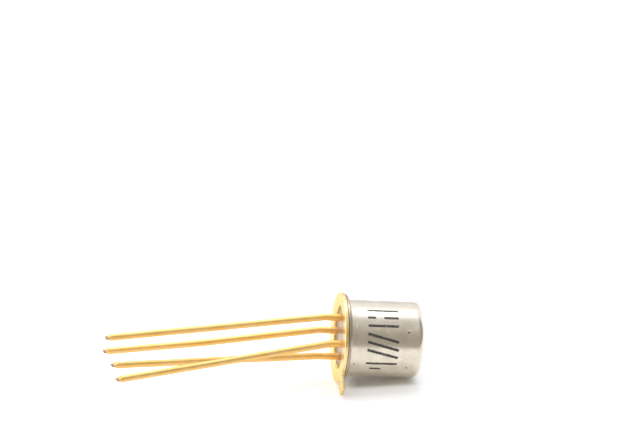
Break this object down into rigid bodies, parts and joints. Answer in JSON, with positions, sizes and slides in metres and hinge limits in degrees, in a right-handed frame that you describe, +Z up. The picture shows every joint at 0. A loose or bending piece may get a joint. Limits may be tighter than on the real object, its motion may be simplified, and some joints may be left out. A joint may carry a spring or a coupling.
{
  "type": "metal-can transistor",
  "caption": "Small round metal-can transistor lying on its side, with a tabbed gold-plated header and long gold-plated wire leads.",
  "frame": {"origin": "on the floor, under the middle of the bounding box of the part as it lies at rest", "axes": "+X along the can towards its closed top, with the leads towards -X; +Z up; the index tab points down and towards -Y"},
  "size_m": [0.0196, 0.0078, 0.0055],
  "materials": {
    "plated_cap": "satin",
    "gilt_header": "satin",
    "gilt_leads": "satin",
    "sealing_glass": "gloss",
    "silicon": "gloss",
    "gold_wire": "polished"
  },
  "bodies": {
    "root": {"cap": "plated_cap", "header_eyelet": "gilt_header", "glass_seal": "sealing_glass", "emitter_lead": "gilt_leads", "base_lead": "gilt_leads", "collector_lead": "gilt_leads", "case_lead": "gilt_leads", "chip_tab": "gilt_header", "transistor_chip": "silicon", "emitter_bond_wire": "gold_wire", "base_bond_wire": "gold_wire"}
  },
  "joints": []
}
